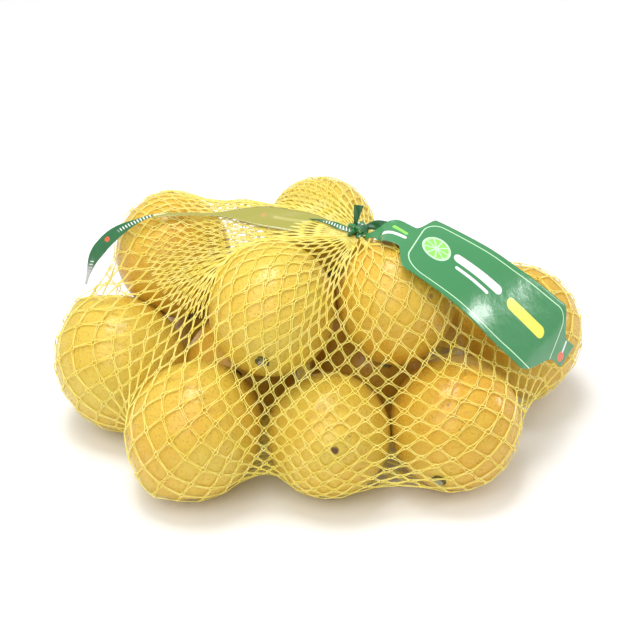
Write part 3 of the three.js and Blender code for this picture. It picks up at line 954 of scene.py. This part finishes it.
def start_film(name, first=FILM_GREEN, second=FILM_GREEN_WORN):
    """A glossy film material with its flat map and base colour, up to the print."""
    material, tree, shader, solid = new_material(name)
    place = add_node(tree, "UVMap", uv_map="flat").outputs[0]
    patchy = between(tree, noise(tree, solid, 40), 0.3, 0.7)
    green = mix_colours(tree, calculate(tree, "MULTIPLY", patchy, 0.35), first, second)
    return material, tree, shader, place, solid, green


def finish_film(tree, shader, solid, colour, crinkle=0.25):
    """A darker green on the back, which is painted shade, and the gloss of a slightly crinkled film."""
    printed = value_of(tree, "printed")
    # Painted shade on the unprinted back layer.
    colour = mix_colours(tree, between(tree, printed, 0.2, 0.8), FILM_BACK_PAINTED_SHADE, colour)
    gloss = between(tree, noise(tree, solid, 1.2, detail=3.0), 0.35, 0.7, 0.18, 0.26)
    fine = calculate(tree, "MULTIPLY", noise(tree, solid, 1.1), 0.16)
    height = calculate(tree, "MULTIPLY_ADD", noise(tree, solid, 7), 1.0, fine)
    normal = bumps(tree, height, crinkle, 0.001)
    fill(tree, shader, {
        "Base Color": colour, "Roughness": gloss, "Normal": normal,
        "Coat Weight": 0.5, "Coat Roughness": 0.08,
    })


# %% The label's print
PANEL_FRAME = {"middle": (76, 0), "half_size": (45.5, 18.4), "rounding": 9, "outline": 0.28}
SLICE_AT, SLICE_RADIUS, SLICE_WEDGES = (40.5, 2.5, 0), 7.5, 9.0
LABEL_BARS = [                # middle, half size, ink and turn of each
    ((64, 3.6), (14.5, 2.6), PRINT_WHITE, 0.05),
    ((62, -2.2), (10, 1.0), PRINT_WHITE, 0.05),
    ((97, 0.8), (14, 3.2), PRINT_YELLOW, 0.05),
    ((19.5, -1.5), (6.5, 1.1), PRINT_WHITE, 0),
    ((21, 2.6), (4.5, 1.0), PRINT_LIGHT_GREEN, 0.2),
    ((129.5, -2.5), (2.6, 2.6), PRINT_ORANGE, 0),
    ((129.5, 2.8), (3.2, 0.6), PRINT_WHITE, 1.57),
]


def make_label_material():
    """The label's print, laid out in millimetres along and across the film."""
    material, tree, shader, place, solid, colour = start_film("label_print")
    colour = print_bar(tree, place, colour, ink=PRINT_PALE, **PANEL_FRAME)
    citrus = use_group(
        tree, slice_group, Place=place, Middle=SLICE_AT, Radius=SLICE_RADIUS, Segments=SLICE_WEDGES
    )
    colour = mix_colours(tree, citrus["Disc"], colour, PRINT_PALE)
    colour = mix_colours(tree, citrus["Flesh"], colour, PRINT_LIGHT_GREEN)
    for middle, half_size, ink, turn in LABEL_BARS:
        colour = print_bar(tree, place, colour, middle, half_size, ink, turn=turn)
    finish_film(tree, shader, solid, colour)
    return material


# %% The print of the narrow stretches
TICK_SPACING, TICK_HALF, TICK_TURN = 1.7, (0.3, 0.9), 0.35
STRIP_DOT = ((27, 0.3), (1.5, 1.1))      # middle and half size
CLEAR_TIP, TIP_OPACITY_LOST = (41, 49), 0.5
VEILED_BAR, VEILED_DOT = ((33, 0.4), (9, 0.9)), ((47, 0.8), (1.4, 1.4))


def make_strip_material():
    """The film's narrow ends: a row of short slanting pale ticks, one orange dot and a clear cut tip."""
    material, tree, shader, place, solid, colour = start_film("strip_print", STRIP_GREEN, STRIP_GREEN_WORN)
    parts = add_node(tree, "SeparateXYZ", {0: place}).outputs
    repeated = calculate(tree, "WRAP", parts[0], TICK_SPACING, 0.0)
    tile = add_node(tree, "CombineXYZ", {0: repeated, 1: parts[1], 2: 0.0}).outputs[0]
    ticked = print_bar(tree, tile, colour, (TICK_SPACING / 2, 0), TICK_HALF, PRINT_WHITE, turn=TICK_TURN)
    grouped = between(tree, noise(tree, solid, 22, detail=0.0), 0.46, 0.5)
    colour = mix_colours(tree, grouped, colour, ticked)
    colour = print_bar(tree, place, colour, *STRIP_DOT, PRINT_ORANGE)
    clear = between(tree, parts[0], *CLEAR_TIP)
    colour = mix_colours(tree, clear, colour, CLEAR_FILM)
    finish_film(tree, shader, solid, colour, crinkle=0.4)
    alpha = calculate(tree, "MULTIPLY_ADD", clear, -TIP_OPACITY_LOST, 1.0)
    tree.links.new(alpha, shader.inputs["Alpha"])
    return material


def make_veiled_material():
    """The film where it lies flat on the gathered net, seen through its haze: a washed-out olive."""
    material, tree, shader, place, solid, colour = start_film("veiled_film")
    colour = mix_colours(tree, 0.88, colour, VEILED_OLIVE)
    colour = print_bar(tree, place, colour, *VEILED_BAR, VEILED_PALE)
    colour = print_bar(tree, place, colour, *VEILED_DOT, VEILED_ORANGE)
    finish_film(tree, shader, solid, colour)
    return material


label_print, strip_print, veiled_print = make_label_material(), make_strip_material(), make_veiled_material()

# %% [markdown]
# The label leaves the knot as a pinch, opens to a neck, widens into the panel with rounded shoulders
# and ends past it in a narrow straight cut. The panel is pulled slightly askew, so its upper edge runs
# ahead of the lower one.

# %% Label
LABEL = [
    ((3.5, -6.5, 107.8), (0.1, 0.8, 0.55)),
    ((9, -11.5, 112.5), (0.12, 0.9, 0.4)),
    ((16.5, -17, 116.3), (0.25, 0.95, 0.1)),
    ((31, -23, 111.5), (0.42, 0.9, 0.08)),
    ((51.5, -28, 100), (0.5, 0.86, 0.13)),
    ((65.5, -29.5, 88.5), (0.54, 0.82, 0.17)),
    ((78, -28, 76), (0.57, 0.79, 0.22)),
    ((91, -25, 62), (0.57, 0.76, 0.28)),
    ((102.5, -17, 47.5), (0.6, 0.74, 0.3)),
]
PINCH_HALF, NECK_HALF, PANEL_HALF, CUT_HALF = 1.5, 9, 21.5, 6.5
PINCH, PANEL_START, PANEL_END = (4, 20), (25.5, 32.5), (110, 127)


def blend_to(before, after, span, s):
    """before up to the span's start, after past its end, eased between them."""
    return before + (after - before) * ease(*span, s)


def label_half(s):
    """Half width: pinch, neck, panel and cut end, eased into each other."""
    near = blend_to(PINCH_HALF, NECK_HALF, PINCH, s)
    panel = near + (PANEL_HALF - NECK_HALF) * ease(*PANEL_START, s)
    return blend_to(panel, CUT_HALF, PANEL_END, s)


def label_lead(s):
    """How far the upper edge runs ahead: 1 at the neck, 6.5 at the far shoulder, 2 at the cut."""
    near = blend_to(0, 1, (8, 24), s)
    far = blend_to(near, 6.5, (40, 100), s)
    return blend_to(far, 2, (106, 134), s)


label = make_film(
    "label_film", LABEL, label_half, label_print, lead=label_lead,
    steps=200, columns=48, ripple=0.15, waves=9,
)
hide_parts("label")

# %% [markdown]
# The other end of the film is twisted narrow at the knot. It flattens out again on the slack of the
# net, where the yarn's haze washes its colour out, and hangs down on the far side as a tail. The stub
# is the cut end above the knot, and the fold is a short bend between the knot and the label.

# %% Strip, tail and stub
STRIP = [
    ((-3.2, -0.4, 107.9), (0.1, 0.5, 0.86)),
    ((-9.5, 3.5, 108.5), (0.3, 0.8, 0.5)),
    ((-14, 7.5, 108.3), (0.4, 0.9, 0.2)),
    ((-19, 11.5, 107.6), (0.3, 0.95, 0)),
    ((-24, 14, 107), (0.3, 0.95, 0)),
]
MIDDLE_STRETCH = [
    ((-2, 2, 103.6), (0.2, 0.9, 0.3)),
    ((-9, 7.5, 104.6), (0.2, 0.9, 0.3)),
    ((-17.5, 10, 106.0), (0.15, 0.9, 0.3)),
    ((-31, 12.5, 106.6), (0.1, 0.9, 0.28)),
    ((-46, 17, 106.8), (0.05, 0.9, 0.25)),
    ((-59, 19.5, 106.4), (0, 0.95, 0.2)),
    ((-72, 20.5, 105.9), (0, 1, 0.1)),
    ((-86.5, 21, 106.0), (0, 1, 0.1)),
    ((-100, 19.2, 105.8), (-0.1, 0.9, 0.4)),
]
TAIL = [
    ((-100, 19, 106), (-0.1, 0.9, 0.4)),
    ((-108, 19, 102.7), (-0.3, 0.7, 0.6)),
    ((-117, 20, 97), (-0.55, 0.5, 0.6)),
    ((-124.5, 20.5, 90), (-0.65, 0.4, 0.5)),
    ((-130, 20, 82.5), (-0.75, 0.3, 0.4)),
    ((-133, 19, 75), (-0.85, 0.25, 0.3)),
    ((-135, 18, 68), (-0.9, 0.2, 0.2)),
]
FOLD = [
    ((2, 1, 107.8), (0, 0.5, 0.86)),
    ((6, 2.2, 109), (0.1, 0.4, 0.9)),
    ((10, 0.5, 110.4), (0.2, 0.3, 0.9)),
    ((13.5, -4.5, 112.3), (0.3, 0.6, 0.7)),
    ((16.5, -9.5, 114), (0.3, 0.9, 0.3)),
]
STUB = [
    ((-0.9, -0.9, 110), (1, 0, 0.1)),
    ((-1, -0.8, 112.7), (1, 0, 0.1)),
    ((-0.4, 0.2, 116.5), (1, 0.15, 0.12)),
    ((0.4, 1.2, 120.7), (0.95, 0.3, 0.15)),
]


def strip_half(s):
    """Half width: a slight swelling near the knot, then a taper to a point."""
    return blend_to(1.1, 0.4, (12, 26), s) + 0.5 * ease(0, 8, s) * (1 - ease(8, 16, s))


def middle_half(s):
    """Half width: opens to 7.2 and closes again to a narrow band."""
    return 0.8 + 6.4 * ease(2, 30, s) * (1 - 0.92 * ease(44, 74, s))


def tail_half(s):
    """Half width: opens to 3.3 and closes to the cut tip."""
    return 0.8 + 2.5 * ease(0, 28, s) - 2.7 * ease(33, 54, s)


strip = make_film(
    "strip_film", STRIP, strip_half, strip_print, flipped=True, steps=60, columns=8, ripple=0.2, waves=2,
)
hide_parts("strip")
make_film(
    "middle_film", MIDDLE_STRETCH, middle_half, veiled_print, flipped=True,
    steps=120, columns=12, ripple=0.15, waves=7,
)
tail = make_film(
    "tail_film", TAIL, tail_half, strip_print, flipped=True, steps=90, columns=12, ripple=0.25, waves=4,
)
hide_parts("tail")
make_film(
    "fold_film", FOLD, lambda s: 1.1 + 1.3 * ease(0, 9, s), strip_print, flipped=True,
    steps=40, columns=8, ripple=0.2, waves=2,
)
stub = make_film(
    "stub_film", STUB, lambda s: 1.0 + 0.17 * np.maximum(s - 3, 0), strip_print,
    steps=40, columns=12, ripple=0.35, waves=2,
)
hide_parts("stub")

# %% [markdown]
# The knot is an overhand knot, whose line is a trefoil. The film is folded up in it, so its section is
# a flattened band with pleats that wind along the line. The trefoil is then fitted to the knot's size.

# %% Knot
KNOT_STEPS, KNOT_AROUND, PLEATS = 220, 36, 7
BAND_WIDE, BAND_THICK = 1.25, 0.55       # half the band's section, as shares of its radius
KNOT_FULLNESS = 1.06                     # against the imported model's knot


def knot_points():
    """Trefoil ((2 + cos 3t) cos 2t, (2 + cos 3t) sin 2t, sin 3t), a pleated band fitted to a box."""
    t = 2 * np.pi * np.arange(KNOT_STEPS) / KNOT_STEPS
    swing = 2 + np.cos(3 * t)
    line = np.stack([swing * np.cos(2 * t), swing * np.sin(2 * t), 1.1 * np.sin(3 * t)], 1)
    along = unit(np.roll(line, -1, axis=0) - np.roll(line, 1, axis=0))
    side = unit(np.cross(along, line + [0, 0, 0.3]))
    up = np.cross(side, along)
    angle = 2 * np.pi * np.arange(KNOT_AROUND) / KNOT_AROUND
    winding, t = 3 * np.sin(t)[:, None], t[:, None]
    pleat = 1 + 0.1 * np.cos(PLEATS * angle + winding) + 0.06 * np.cos(3 * angle + 5 * t)
    radius = 0.95 * pleat * (1 + 0.12 * np.sin(4 * t + 1))
    ring = BAND_WIDE * np.cos(angle)[:, None] * up[:, None]
    ring = ring + BAND_THICK * np.sin(angle)[:, None] * side[:, None]
    points = (line[:, None] + radius[..., None] * ring).reshape(-1, 3)[:, [0, 2, 1]]
    low, high = points.min(0), points.max(0)
    centred = (points - (low + high) / 2) / (high - low)
    return centred * np.array(KNOT_SIZE) * KNOT_FULLNESS + np.array(KNOT_AT)


def ring_faces(steps, around):
    """Quads of a closed tube that joins its own start."""
    i, j = np.meshgrid(np.arange(steps), np.arange(around), indexing="ij")
    here, beside = i * around + j, i * around + (j + 1) % around
    ahead, ahead_beside = (i + 1) % steps * around + j, (i + 1) % steps * around + (j + 1) % around
    return [np.stack([here, beside, ahead_beside, ahead], -1).reshape(-1, 4)]


def make_knot_material():
    """The same film bunched up: green, with patches of the back's painted shade and its print showing in the
    pleats.
    """
    material, tree, shader, solid = new_material("knot_film")
    patches = between(tree, noise(tree, solid, 3.2, detail=1.0), 0.42, 0.6)
    # Painted shade: patches of the back's darker green.
    colour = mix_colours(tree, patches, FILM_GREEN, FILM_BACK_PAINTED_SHADE)
    marks = between(tree, noise(tree, solid, 1.8, detail=1.0), 0.66, 0.7)
    colour = mix_colours(tree, marks, colour, PRINT_WHITE)
    normal = bumps(tree, noise(tree, solid, 1.2), 0.5, 0.0006)
    fill(tree, shader, {
        "Base Color": colour, "Normal": normal, "Roughness": 0.25, "Coat Weight": 0.3,
    })
    return material


knot_faces = ring_faces(KNOT_STEPS, KNOT_AROUND)
knot = make_piece("knot_film", knot_points(), knot_faces, make_knot_material())
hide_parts("knot")

# %% [markdown]
# ## Floor and light
#
# The floor is pale and matt. A large soft lamp at the front left gives the lemons their form, and a
# smaller one overhead brightens their tops. A small low lamp at the right only makes the film glint.
# The rest is even light from all round, which keeps the shadows open.

# %% Floor
def make_floor_material():
    """Pale, matt and very slightly mottled."""
    material, tree, shader, place = new_material("pale_floor")
    tone = between(tree, noise(tree, place, 60, detail=3.0), 0.3, 0.7)
    colour = mix_colours(tree, tone, screen_colour(244, 244, 244), screen_colour(250, 250, 250))
    fill(tree, shader, {"Base Color": colour, "Roughness": 0.7})
    return material


FLOOR_REACH = 3.0             # metres from the middle to each side
floor_mesh = bpy.data.meshes.new("floor")
floor_corners = [(x * FLOOR_REACH, y * FLOOR_REACH, 0) for x, y in ((-1, -1), (1, -1), (1, 1), (-1, 1))]
floor_mesh.from_pydata(floor_corners, [], [(0, 1, 2, 3)])
floor_mesh.materials.append(make_floor_material())
floor = bpy.data.objects.new("floor", floor_mesh)
bpy.context.scene.collection.objects.link(floor)
floor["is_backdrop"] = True


# %% Light
LIGHTS = {                    # place in millimetres, size in metres and power in watts
    "key": ((-350, -700, 900), 0.9, 5.6),
    "top": ((-150, 60, 1100), 0.5, 7.5),
    "right": ((900, 200, 290), 0.2, 1.7),
}
LIT_PLACE = (0, 0, 50)
EVEN_LIGHT = 0.62

for name, (at, size, power) in LIGHTS.items():
    lamp = bpy.data.lights.new(name, "AREA")
    lamp.size, lamp.energy = size, power
    light = bpy.data.objects.new(name, lamp)
    bpy.context.scene.collection.objects.link(light)
    light.location = placed(at)
    aim = light.location - Vector(placed(LIT_PLACE))
    light.rotation_euler = aim.to_track_quat("Z", "Y").to_euler()

world = bpy.data.worlds.new("studio")
world.use_nodes = True
fill(world.node_tree, world.node_tree.nodes["Background"], {0: (1, 1, 1, 1), 1: EVEN_LIGHT})
bpy.context.scene.world = world
bpy.context.scene.view_settings.view_transform = "Standard"

# %% [markdown]
# Two boxes are written down side by side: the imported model's, measured before anything was added, and
# the box of what is seen now. They have to agree, because this script gives the bag its looks and
# leaves its size alone.

# %% Sizes
visual_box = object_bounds()
for name, box in (("packed model", cad_box), ("visual model", visual_box)):
    print(name, [[round(x * 1000, 1) for x in corner] for corner in box])
